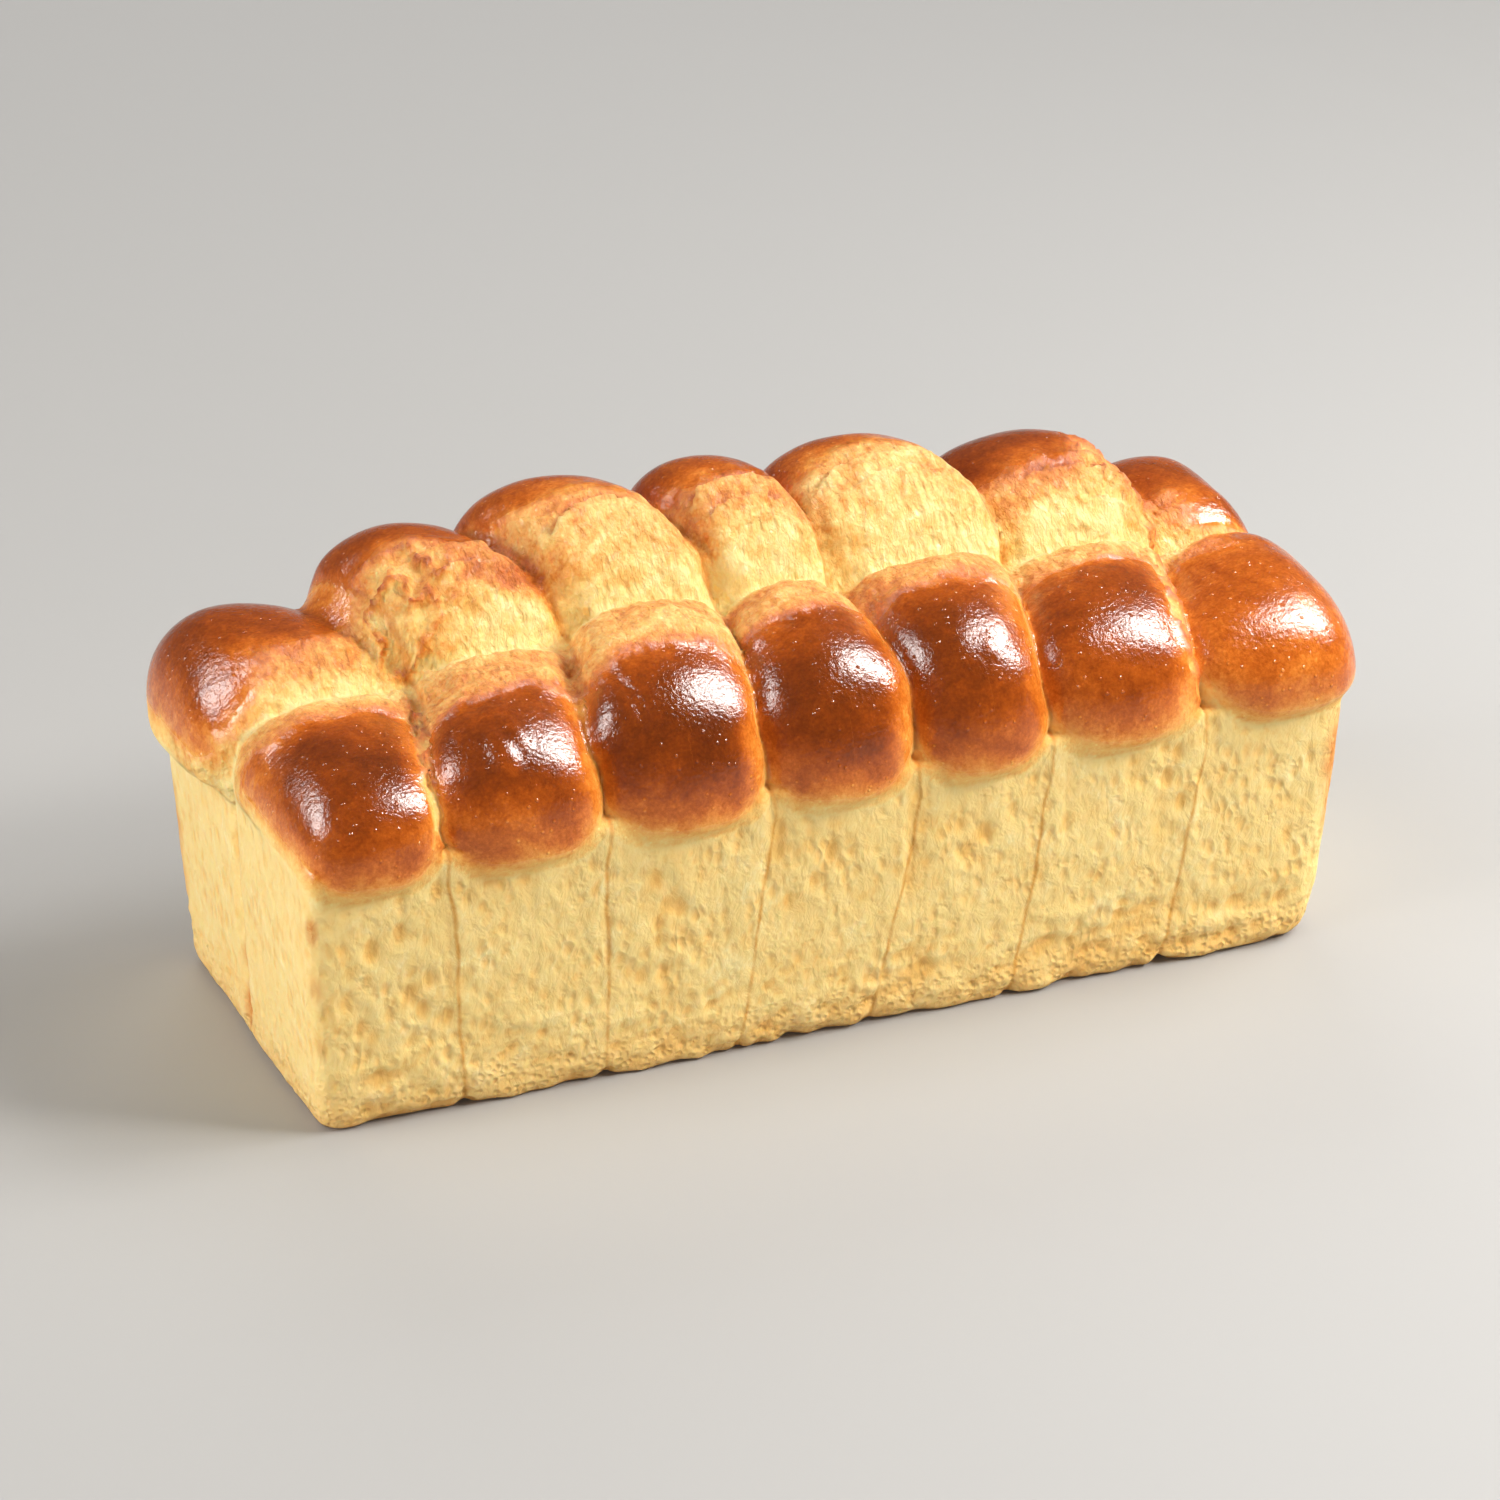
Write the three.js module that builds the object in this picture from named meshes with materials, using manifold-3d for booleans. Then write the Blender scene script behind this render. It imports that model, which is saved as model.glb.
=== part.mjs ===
// Brioche loaf baked in a long tin: fourteen balls of dough set in two rows of seven, which rise
// into one another and bake as a single piece. Below the rim the loaf has the straight, slightly
// flared sides of the tin; above it each ball swells into a pillow that hangs a little over the rim.
//
// Millimetres, +Z up. X runs along the loaf, Y across it from the front row (-Y) to the back row
// (+Y). The origin is the centre of the flat underside.

import * as THREE from 'three';
import { mergeVertices } from 'three/addons/utils/BufferGeometryUtils.js';
import Module from 'manifold-3d';

// ---- driving dimensions ------------------------------------------------------------------

const BASE_LENGTH = 300; // underside along X
const BASE_WIDTH = 120; // underside along Y
const RIM_HEIGHT = 70; // depth of the tin
const FLARE = 3; // how far each side leans out between the underside and the rim
const WAIST_HEIGHT = 82; // level at which the pillows are widest
const REACH = 67; // from the middle plane to the outermost point of a pillow
const BALLS_PER_ROW = 7;

// Each row, seen from its own side. "side" is the sign of Y. "crest" is the distance of the
// ridge from the middle plane and "inward" is how far the pillow runs back from that ridge.
// "tops" and "lips" are the highest point and the lower edge of each pillow, left to right.
// "feet" and "rims" are the seams between the balls, at the underside and at the rim.
const ROWS = [
  {
    side: -1,
    crest: 22,
    inward: 29,
    tops: [102, 108, 114, 114, 113, 109, 105],
    lips: [69, 69, 69, 69.5, 70, 71, 72],
    feet: [-109, -68, -29, 10, 53, 100],
    rims: [-113, -68, -20, 24, 63, 110],
    ends: [-158, 165],
  },
  {
    side: 1,
    crest: 31,
    inward: 35,
    tops: [111, 128, 135, 134, 133, 125, 108],
    lips: [70, 70, 70, 70, 70, 70, 70],
    feet: [-108, -66, -24, 18, 64, 108],
    rims: [-112, -71, -20, 20, 70, 125],
    ends: [-162, 165],
  },
];
const VALLEY_SEAMS = [-99, -54, -10, 24, 78, 124]; // the same seams where the two rows meet

const SEAM_SWING = 52; // distance from the middle plane over which the seams swing inwards
const SEAM_DEPTH_TOP = 10; // how far a pillow falls from its middle to its seam
const SEAM_DEPTH_SIDE = 4;
const SEAM_DEPTH_LIP = 4;
const SEAM_OVERLAP = 0.4; // each ball runs this far into its neighbour
const PINCH_ROUNDNESS = 2.6; // how suddenly a pillow dips at its seams
const PILLOW_ROUNDNESS = 2.45; // superellipse exponent of the pillow above its waist
const LIP_ROUNDNESS = 3.6; // and below it
const END_PLAN_ROUNDNESS = 4.6; // and in plan, round the two ends of the loaf
const CORNER_RADIUS = 5; // upright corners of the tin-shaped part
const SEAM_RADIUS = 2; // edge of each ball beside a seam in the wall
const BLOCK_COVER = 2; // the tin-shaped part stops this far below the waist, inside the pillow
const ROW_OVERLAP = 4; // each row runs this far past the middle plane

const RING_POINTS = 24; // points round a pillow
const RING_COUNT = 10; // steps from seam to seam
const CORNER_STEPS = 3;

const CRUST_COLOUR = 0xc98b42;

// ---- helpers -----------------------------------------------------------------------------

const wasm = await Module();
wasm.setup();

// Merges shared points, drops the slivers that collapse at a pole, and makes a solid.
function toSolid(geometry) {
  geometry.deleteAttribute('normal');
  geometry.deleteAttribute('uv');
  const merged = mergeVertices(geometry, 1e-3);
  const index = merged.index.array;
  const triangles = [];
  for (let k = 0; k < index.length; k += 3) {
    const [a, b, c] = [index[k], index[k + 1], index[k + 2]];
    if (a !== b && b !== c && c !== a) {
      triangles.push(a, b, c);
    }
  }
  return new wasm.Manifold(new wasm.Mesh({
    numProp: 3,
    vertProperties: new Float32Array(merged.attributes.position.array),
    triVerts: new Uint32Array(triangles),
  }));
}

function toGeometry(solid) {
  const mesh = solid.getMesh();
  const geometry = new THREE.BufferGeometry();
  geometry.setAttribute('position', new THREE.BufferAttribute(mesh.vertProperties, 3));
  geometry.setIndex(new THREE.BufferAttribute(mesh.triVerts, 1));
  geometry.computeVertexNormals();
  return geometry;
}

// Moves every point of a geometry through a function of its position.
function bend(geometry, move) {
  const position = geometry.attributes.position;
  const point = new THREE.Vector3();
  for (let k = 0; k < position.count; k += 1) {
    point.fromBufferAttribute(position, k);
    move(point);
    position.setXYZ(k, point.x, point.y, point.z);
  }
  return geometry;
}

// X of the seam on the right of ball "index" at a distance s from the middle plane and height z.
// Above the rim the seam swings towards the place where the two rows meet.
function seamX(row, index, s, z) {
  const out = THREE.MathUtils.clamp(s / SEAM_SWING, 0, 1);
  const low = THREE.MathUtils.clamp(1 - z / RIM_HEIGHT, 0, 1);
  const upper = THREE.MathUtils.lerp(VALLEY_SEAMS[index], row.rims[index], Math.max(out, low));
  return upper + (row.feet[index] - row.rims[index]) * low;
}

// Left and right limits of a ball; "end" gives the limit at the two ends of the loaf.
function limits(row, index, s, z, end) {
  const first = index === 0;
  const last = index === BALLS_PER_ROW - 1;
  const left = first ? end[0] : seamX(row, index - 1, s, z) - SEAM_OVERLAP;
  const right = last ? end[1] : seamX(row, index, s, z) + SEAM_OVERLAP;
  return [left, right];
}

// ---- the tin-shaped part of one ball ---------------------------------------------------------

// A block with two upright corners rounded, drawn one unit long per millimetre at the underside
// and then leaned out with the tin and skewed to follow the seams.
function makeBlock(row, index) {
  const [left, right] = limits(row, index, BASE_WIDTH / 2, 0, [-BASE_LENGTH / 2, BASE_LENGTH / 2]);
  const leftRadius = index === 0 ? CORNER_RADIUS : SEAM_RADIUS;
  const rightRadius = index === BALLS_PER_ROW - 1 ? CORNER_RADIUS : SEAM_RADIUS;
  const wall = BASE_WIDTH / 2;
  const outline = new THREE.Shape();
  outline.moveTo(left, -ROW_OVERLAP);
  outline.lineTo(right, -ROW_OVERLAP);
  outline.lineTo(right, wall - rightRadius);
  outline.absarc(right - rightRadius, wall - rightRadius, rightRadius, 0, Math.PI / 2, false);
  outline.lineTo(left + leftRadius, wall);
  outline.absarc(left + leftRadius, wall - leftRadius, leftRadius, Math.PI / 2, Math.PI, false);
  outline.closePath();
  const block = new THREE.ExtrudeGeometry(outline, {
    depth: WAIST_HEIGHT - BLOCK_COVER,
    steps: 2,
    bevelEnabled: false,
    curveSegments: CORNER_STEPS,
  });
  bend(block, (point) => {
    const lean = (FLARE * point.z) / RIM_HEIGHT;
    const share = (point.x - left) / (right - left);
    const half = BASE_LENGTH / 2 + lean;
    const [newLeft, newRight] = limits(row, index, wall, Math.min(point.z, RIM_HEIGHT), [-half, half]);
    point.x = THREE.MathUtils.lerp(newLeft, newRight, share);
    point.y *= 1 + lean / wall;
  });
  return block;
}

// ---- the pillow above the rim ------------------------------------------------------------------

// Rings of a superellipse strung from seam to seam. Towards a seam each ring sinks; towards an
// end of the loaf the rings close to a point.
function makePillow(row, index) {
  const top = row.tops[index] - WAIST_HEIGHT;
  const drop = WAIST_HEIGHT - row.lips[index];
  const pillow = new THREE.CylinderGeometry(1, 1, 2, RING_POINTS, RING_COUNT, false);
  pillow.rotateZ(-Math.PI / 2);
  bend(pillow, (point) => {
    const station = Math.sin((point.x * Math.PI) / 2);
    const away = Math.abs(station);
    const atEnd = (index === 0 && station < 0) || (index === BALLS_PER_ROW - 1 && station > 0);
    const curve = (power) => (1 - away ** power) ** (1 / power);
    const pinch = 1 - curve(PINCH_ROUNDNESS);
    const wide = atEnd ? curve(END_PLAN_ROUNDNESS) : 1;
    const tall = atEnd ? curve(PILLOW_ROUNDNESS) : 1;
    const sink = atEnd ? 0 : pinch;

    const outward = point.y > 0 ? REACH - row.crest - SEAM_DEPTH_SIDE * sink : row.inward;
    const upward = point.z > 0 ? top - SEAM_DEPTH_TOP * sink : drop - SEAM_DEPTH_LIP * sink;
    const power = 2 / (point.z > 0 ? PILLOW_ROUNDNESS : LIP_ROUNDNESS);
    const s = row.crest + Math.sign(point.y) * Math.abs(point.y) ** power * outward * wide;
    const z = WAIST_HEIGHT + Math.sign(point.z) * Math.abs(point.z) ** power * upward * tall;
    const [left, right] = limits(row, index, s, z, row.ends);
    point.set(THREE.MathUtils.lerp(left, right, (station + 1) / 2), s, z);
  });
  return pillow;
}

// ---- join everything -------------------------------------------------------------------------

// The front row is the mirror of a row built on the +Y side, so its faces are turned round.
function place(geometry, row) {
  if (row.side > 0) {
    return geometry;
  }
  geometry.scale(1, -1, 1);
  const index = geometry.index ?? new THREE.BufferAttribute(
    Uint32Array.from({ length: geometry.attributes.position.count }, (_, k) => k), 1);
  for (let k = 0; k < index.count; k += 3) {
    const second = index.getX(k + 1);
    index.setX(k + 1, index.getX(k + 2));
    index.setX(k + 2, second);
  }
  geometry.setIndex(index);
  return geometry;
}

let loaf = null;
for (const row of ROWS) {
  for (let index = 0; index < BALLS_PER_ROW; index += 1) {
    for (const make of [makeBlock, makePillow]) {
      const piece = toSolid(place(make(row, index), row));
      loaf = loaf ? loaf.add(piece) : piece;
    }
  }
}

const crust = new THREE.MeshStandardMaterial({
  color: CRUST_COLOUR,
  roughness: 0.55,
  metalness: 0,
});
const mesh = new THREE.Mesh(toGeometry(loaf), crust);
mesh.name = 'loaf';

// Centre the bounding box over the origin, with the underside at Z = 0.
const box = new THREE.Box3().setFromObject(mesh);
const middle = box.getCenter(new THREE.Vector3());
mesh.position.set(-middle.x, -middle.y, -box.min.z);

const group = new THREE.Group();
group.add(mesh);

export default group;
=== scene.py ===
"""Brioche loaf: the baked skin of the loaf, its material, and the studio round it.

The loaf is fourteen balls of dough, two rows of seven, risen together in a long tin. Its skin is
the zero level of a field sampled on a grid, meshed by surface nets, and then worked on point by
point: wrinkles, strands, creases and blisters are moves of the mesh, and the browning is painted
into point attributes that the material reads. Shape code works in millimetres, with X along the
loaf, Y across it (-Y is the front row) and Z up.
"""

import math

import bpy
import numpy as np
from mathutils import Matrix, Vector


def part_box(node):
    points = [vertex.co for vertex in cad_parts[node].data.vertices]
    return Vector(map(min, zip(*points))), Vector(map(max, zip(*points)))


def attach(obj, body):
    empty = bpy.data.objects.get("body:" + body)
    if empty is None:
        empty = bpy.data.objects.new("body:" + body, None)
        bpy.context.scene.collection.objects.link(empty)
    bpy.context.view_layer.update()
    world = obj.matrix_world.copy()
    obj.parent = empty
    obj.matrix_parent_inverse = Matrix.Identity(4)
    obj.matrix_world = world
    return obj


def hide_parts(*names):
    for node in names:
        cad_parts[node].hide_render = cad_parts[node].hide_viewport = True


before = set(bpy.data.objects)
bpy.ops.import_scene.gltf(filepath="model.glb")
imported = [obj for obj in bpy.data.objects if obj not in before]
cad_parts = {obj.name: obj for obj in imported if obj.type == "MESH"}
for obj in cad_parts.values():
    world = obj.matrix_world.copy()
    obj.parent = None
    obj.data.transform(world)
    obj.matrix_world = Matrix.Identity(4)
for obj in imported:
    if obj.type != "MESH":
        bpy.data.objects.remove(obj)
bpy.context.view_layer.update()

# ---- driving dimensions, in millimetres --------------------------------------------------------

MM = 0.001
CELL = 1.5                    # grid step of the skin
BASE_LENGTH = 300.0           # underside of the tin
BASE_WIDTH = 120.0
RIM = 70.0                    # depth of the tin
FLARE = 3.0                   # lean of each side up to the rim
FLARE_RIGHT = 5.0             # and of the right end
WAIST = 82.0                  # level at which the pillows are widest
REACH = 68.0                  # from the middle plane to the outermost point of a pillow
LAST = 6                      # index of the last ball in a row
SEAM_SWING = 52.0             # distance over which the seams swing in towards the valley
SEAM_DEPTH_OUTSIDE = 8.5      # how far a pillow sinks at its seams, on its outer side
SEAM_GROOVE = 2.4             # depth of the sharp groove in each seam
SEAM_GROOVE_WIDTH = 1.8
TOP_ROUNDNESS = 2.45          # superellipse exponent of a pillow above its waist
LIP_ROUNDNESS = 4.4           # and below it
BLOCK_COVER = 2.0             # the tin-shaped part stops this far below the waist
ROW_OVERLAP = 2.0             # each row runs this far past the middle plane
EDGE_RADIUS = 3.8             # of the bottom edge
VALLEY_HALF_WIDTH = 7.0       # of the dough that fills the bottom of the valley
FILLER_END = 146.0            # it stops here along X
FILLER_FOOT = 60.0            # and does not reach below this level
OPEN_AIR = 3.0                # this far from the loaf is surely outside it
FAR = 99.0                    # stands for the distance to a seam that is not there

# One row of balls, left to right. "side" is the sign of Y. The ridge is "crest" from the middle
# plane and the pillow runs "inward" of it. "tops" and "lips" are the highest point and the lower
# edge of each pillow; "feet" and "rims" are the seams at the underside and at the rim, and
# "seam_depth" is how far a pillow sinks at them near the valley. The crust darkens outwards from
# "fade" over "fade_width", from a tone of "bare" to one of "baked".
FRONT = dict(
    side=-1, crest=19.5, inward=27.0, seam_depth=2.0,
    tops=[103, 110, 117, 116, 115, 111, 106],
    lips=[69, 69, 69, 69.5, 70, 71, 72],
    feet=[-109, -68, -29, 10, 53, 100],
    rims=[-113, -68, -20, 24, 63, 110],
    ends=[-154, 165],
    fade=[9, 25, 28, 23, 17, 11, 6], fade_width=32,
    bare=[0.32, 0.33, 0.31, 0.35, 0.36, 0.33, 0.44],
    baked=[0.86, 0.88, 0.90, 0.86, 0.82, 0.76, 0.62],
)
BACK = dict(
    side=1, crest=31.0, inward=35.0, seam_depth=5.0,
    tops=[111, 128, 135, 134, 133, 125, 108],
    lips=[70, 70, 70, 70, 70, 70, 70],
    feet=[-108, -66, -24, 18, 64, 108],
    rims=[-112, -71, -20, 20, 70, 125],
    ends=[-162, 165],
    fade=[10, 19, 21, 19, 23, 12, 12], fade_width=22,
    bare=[0.36, 0.50, 0.30, 0.38, 0.27, 0.38, 0.42],
    baked=[0.72, 0.68, 0.64, 0.68, 0.64, 0.74, 0.66],
)
ROWS = (FRONT, BACK)
VALLEY_SEAMS = [-99, -54, -10, 24, 78, 124]

# How far the lower edge of a pillow lifts at its left and right seams, and at the left of the
# front row's last ball: in the shape of the pillow, and where the crust's edge ends up.
PILLOW_LIFT = dict(left=11.0, right=14.0, last=24.0)
LIP_LIFT = dict(left=8.0, right=10.0, last=16.0)

# Height of the dough that fills the bottom of the valley, along X.
FILLER_X = [-152, -100, -50, 60, 120, 152]
FILLER_Z = [88, 96, 102, 102, 96, 88]

# Places where the bottom edge of the front is missing: X, width and depth.
NOTCHES = [(-13, 3.5, 6), (-22, 2.5, 3), (-74, 3, 3), (74, 2.5, 3), (137, 3, 3), (-135, 3, 2)]

# Heights of the skin's relief.
CROWN_WAVES = 1.0
WALL_WAVES = 0.6
CRUST_RIPPLES = 0.30
WALL_DENTS = 1.3              # drawn out upwards, high on the sides
FOOT_PITS = 1.4               # crowded, near the foot
FOOT_WRINKLES = 1.2           # level, among the pits
SEAM_CREASES = 0.8            # upright stretch marks beside the seams
STRANDS = 0.8                 # stretched dough running down into the valley
VALLEY_LUMPS = 1.4
TORN_RIDGES = 2.6
TORN_DEPTH = 0.8
SKIN_FOLD = 2.3               # of the folds on the tall back balls
DENT_DEPTH = 0.8
END_GROOVE = 2.0              # down the middle of each end
END_GROOVE_WIDTH = 2.4
RELIEF_LIMIT = 1.5            # the material is told of no more relief than this
SEAM_LIMIT = 20.0             # nor of any larger distance to a seam

# Browning, from 0 for bare dough to 1 for the darkest crust.
PALEST = 0.06
# painted shadow: browning added in the dip under the edge of a skin fold
FOLD_SHADOW = 0.34             # under the edge of a skin fold
BLISTER_PALING = 0.12
TORN_TONES = (0.08, 0.42)    # in the hollows of torn crust, and added on its ridges

# Blisters under the egg wash of the front row: X, Z, radius and height.
BLISTERS = [
    (-95, 102, 4.6, 1.3), (-89, 105, 2.8, 0.8), (-99, 94, 2.4, 0.5),
    (47, 107, 2.6, 0.6), (53, 109, 4.0, 0.4),
]
DENT = (-61, 108, 6, 1.4)     # curved dent beside the blisters: X, Z, radius and width

# The skin fold on each back ball: distance from the middle plane, and how far it bends.
FLAP_START = [0, 25, 22, 24, 27, 16, 0]
FLAP_BEND = [0, 4, 8, 7, 9, 5, 0]

# Orange stains, drawn out upwards, where the tin caught the crust: X, Y, Z, radius and strength.
STAINS = [
    (155, -61, 58, 9, 1.0), (153, -59, 42, 7, 0.9), (60, 63, 40, 5, 0.5),
    (-152, -61, 63, 2.4, 0.9), (-151.5, -61, 46, 3, 0.5), (-151, -60.5, 28, 3, 0.5),
    (-151, 0, 11, 4, 1.0), (-151.5, 0, 26, 3, 0.7), (-152, 58, 40, 9, 0.7), (-152, 57, 20, 8, 0.6),
]

# The sampled space along each axis. Its lowest level is half a step off the underside.
GRID_X = (-165.0, 168.0)
GRID_Y = (-70.0, 70.0)
GRID_TOP = 137.0
GRID_MARGIN = 4 * CELL
GRID_BOTTOM = -2.5 * CELL

# The CAD box is centred on the origin; the loaf's own X runs from the tin's middle.
box_low, box_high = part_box("loaf")
SHIFT_X = (box_low.x + box_high.x) / (2 * MM) - (BACK["ends"][0] + BACK["ends"][1]) / 2


# ---- small maths -------------------------------------------------------------------------------

def smoothstep(low, high, value):
    t = np.clip((value - low) / (high - low), 0, 1)
    return t * t * (3 - 2 * t)


def smooth_min(a, b, blend):
    h = np.maximum(blend - np.abs(a - b), 0) / blend
    return np.minimum(a, b) - h * h * blend / 4


def rounded_corner(a, b):
    """Distance from a corner of two faces, given the distances from the faces."""
    return np.hypot(np.maximum(a, 0), np.maximum(b, 0)) + np.minimum(np.maximum(a, b), 0)


def noise(points, size, seed):
    """Smooth value noise from -1 to 1; "size" is the width of a blob along each axis."""
    cells = 24
    table = np.random.default_rng(seed).uniform(-1, 1, (cells, cells, cells))
    p = points / np.asarray(size, float) + 100.5
    base = np.floor(p).astype(int)
    f = p - base
    f = f * f * (3 - 2 * f)
    total = np.zeros(len(points))
    for corner in range(8):
        step = np.array([corner & 1, (corner >> 1) & 1, corner >> 2])
        weight = np.prod(np.where(step, f, 1 - f), axis=1)
        k = (base + step) % cells
        total += weight * table[k[:, 0], k[:, 1], k[:, 2]]
    return total


def rough_noise(points, size, seed):
    """Three octaves of noise."""
    size = np.asarray(size, float)
    total = noise(points, size, seed)
    total = total + 0.5 * noise(points, size / 2.1, seed + 1)
    total = total + 0.25 * noise(points, size / 4.3, seed + 2)
    return total / 1.4


# ---- the field ---------------------------------------------------------------------------------

def seam_x(row, index, y, z):
    """X of the seam on the left of ball "index", at a point (y, z)."""
    valley = VALLEY_SEAMS[index - 1]
    foot = row["feet"][index - 1]
    wander = 0.7 * np.sin(0.13 * z + 2.1 * index + row["side"])
    rim = row["rims"][index - 1] + wander + 0.25 * np.sin(0.41 * z + index)
    swing = valley + (rim - valley) * np.clip(row["side"] * y / SEAM_SWING, -0.2, 1)
    low = np.clip(1 - z / RIM, 0, 1) * np.clip(row["side"] * y / 50, 0, 1)
    return swing + (foot - rim) * low


def limits(row, index, y, z, ends):
    left = ends[0] + 0 * y if index == 0 else seam_x(row, index, y, z)
    right = ends[1] + 0 * y if index == LAST else seam_x(row, index + 1, y, z)
    return (left + right) / 2, (right - left) / 2


def arch(across):
    """How far a ball falls away from its middle (0) towards its seams (1)."""
    t = np.minimum(np.abs(across), 1.0)
    return 0.7 * t * t + 0.3 * t ** 6


def fold(across, half, width):
    """A V-shaped groove at each seam, 1 at its bottom."""
    gap = np.maximum(1 - np.abs(across), 0) * half
    return np.exp(-gap / width)


def pillow(row, index, x, y, z):
    """The part of a ball above the rim."""
    middle, half = limits(row, index, y, z, row["ends"])
    across = (x - middle) / half
    s = row["side"] * y - row["crest"]
    h = z - WAIST
    lip = row["lips"][index]
    wide = np.where(s > 0, REACH - row["crest"], row["inward"])
    tall = np.where(h > 0, row["tops"][index] - WAIST, WAIST - lip)
    power = np.where(h > 0, TOP_ROUNDNESS, LIP_ROUNDNESS)
    ring = (np.abs(s / wide) ** power + np.abs(h / tall) ** power) ** (1 / power) + 1e-9
    flat = np.sqrt(s * s + h * h) * (1 - 1 / ring)
    # the ball sinks towards its seams, more so outside its ridge and high up
    outer = smoothstep(-26, -2, s)
    depth = row["seam_depth"] + (SEAM_DEPTH_OUTSIDE - row["seam_depth"]) * outer
    sink = depth * arch(across) + SEAM_GROOVE * fold(across, half, SEAM_GROOVE_WIDTH)
    sink = sink + 2.0 * outer * np.clip(h / 30, 0, 1) * arch(across)
    # and its lower edge lifts there
    left_lift = PILLOW_LIFT["last" if row is FRONT and index == LAST else "left"]
    lift = np.where(across > 0, PILLOW_LIFT["right"], left_lift) * np.minimum(np.abs(across), 1) ** 4
    corner = lift * np.clip((WAIST - z) / (WAIST - lip), 0, 1)
    inside = flat + sink + corner + np.maximum(np.abs(across) - 1, 0) * half
    if index not in (0, LAST):
        return inside
    # the first and last balls close towards the end of the loaf, in plan and in height
    square = 3.8 if row is FRONT and index == 0 else 3.0
    plan = np.abs(across) ** square + np.abs(s / wide) ** square
    rounding = smoothstep(0, 0.7, np.abs(across))
    soft = np.where(h > 0, TOP_ROUNDNESS - 0.3 * rounding, LIP_ROUNDNESS - 1.4 * rounding)
    bulb = (plan ** (soft / square) + np.abs(h / tall) ** soft) ** (1 / soft) + 1e-9
    spread = x - middle
    closed = np.sqrt(spread * spread + s * s + h * h) * (1 - 1 / bulb)
    at_end = across < 0 if index == 0 else across > 0
    return np.where(at_end, closed, inside)


def block(row, index, x, y, z):
    """The part of a ball inside the tin."""
    rise = np.clip(z, 0, RIM + 10) / RIM
    wall = BASE_WIDTH / 2 + FLARE * rise
    ends = (-BASE_LENGTH / 2 - FLARE * rise, BASE_LENGTH / 2 + FLARE_RIGHT * rise)
    middle, half = limits(row, index, y, z, ends)
    half = half + 0.3
    # radius of the upright edges: small beside a seam, larger at the corners and near the foot
    low = np.exp(-np.maximum(z, 0) / 5)
    radius = 1.2 + 4.5 * low
    if index == 0 and row is FRONT:
        radius = np.where(x < middle, 5 + 4 * low, radius)
    elif index in (0, LAST):
        outwards = x < middle if index == 0 else x > middle
        corner = 7 + 9 * np.exp(-np.maximum(z, 0) / 14)
        radius = np.where(outwards, corner, radius)
    qx = np.abs(x - middle) - half + radius
    qs = row["side"] * y - wall + radius
    side = rounded_corner(qx, qs) - radius
    # the bottom edge is uneven, except at the ends of the loaf
    uneven = 3.0 * edge_wobble(x + 400 * (row is BACK)) * (1 - smoothstep(134, 146, np.abs(x)))
    edge = EDGE_RADIUS + uneven
    for place, width, depth in NOTCHES:
        edge = edge + (row is FRONT) * depth * np.exp(-((x - place) / width) ** 2)
    solid = rounded_corner(side + edge, -z + edge) - edge
    solid = np.maximum(solid, z - (WAIST - BLOCK_COVER))
    return np.maximum(solid, -row["side"] * y - ROW_OVERLAP)


def edge_wobble(x):
    """Smooth randomness along the loaf, -1 to 1, for the bottom edge."""
    total = 0
    for seed, count, spacing, weight in ((5, 160, 5.5, 0.7), (6, 60, 15.0, 0.5)):
        knots = np.random.default_rng(seed).uniform(-1, 1, count)
        total = total + weight * np.interp(x, -200 + spacing * np.arange(count), knots)
    return total


def sample_field(xs, ys, zs):
    """The field of the whole loaf: negative inside, and near the skin roughly a distance."""
    out = np.full((len(xs), len(ys), len(zs)), 50.0)
    for row in ROWS:
        own = np.flatnonzero(row["side"] * ys > -14)
        for index in range(LAST + 1):
            seams = [row["feet"], row["rims"], VALLEY_SEAMS]
            low = -999 if index == 0 else min(k[index - 1] for k in seams) - 18
            high = 999 if index == LAST else max(k[index] for k in seams) + 18
            near = np.flatnonzero((xs > low) & (xs < high))
            part = (slice(near[0], near[-1] + 1), slice(own[0], own[-1] + 1))
            x, y, z = xs[part[0], None, None], ys[None, part[1], None], zs[None, None, :]
            ball = smooth_min(pillow(row, index, x, y, z), block(row, index, x, y, z), 1.2)
            out[part] = smooth_min(out[part], ball, 0.5)
    # dough fills the pits where four balls meet
    x, y, z = xs[:, None, None], ys[None, :, None], zs[None, None, :]
    filler = np.maximum(np.abs(y) - VALLEY_HALF_WIDTH, z - np.interp(x, FILLER_X, FILLER_Z))
    filler = np.maximum(filler, np.maximum(np.abs(x) - FILLER_END, FILLER_FOOT - z))
    out = smooth_min(out, filler, 7.0)
    return np.maximum(out, -z)


def fill_voids(field):
    """Fills the hollows inside the loaf, which the air outside does not reach."""
    air = field >= 0
    reached = field > OPEN_AIR
    found = 0
    while reached.sum() > found:
        found = reached.sum()
        for axis in range(3):
            layers = np.moveaxis(reached, axis, 0)
            layers[1:] |= layers[:-1].copy()
            layers[:-1] |= layers[1:].copy()
        reached &= air
    field[air & ~reached] = -1.0


def close_pinches(field):
    """Fills the places where two parts of the skin would touch along a single edge."""
    for _ in range(4):
        for axis in range(3):
            layers = np.moveaxis(field, axis, 0)
            one = (layers[:, :-1, :-1], layers[:, 1:, 1:])
            other = (layers[:, 1:, :-1], layers[:, :-1, 1:])
            for inner, outer in ((one, other), (other, one)):
                pinched = (inner[0] < 0) & (inner[1] < 0) & (outer[0] >= 0) & (outer[1] >= 0)
                for part in outer:
                    part[pinched] = -0.05


# ---- surface nets ------------------------------------------------------------------------------

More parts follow.
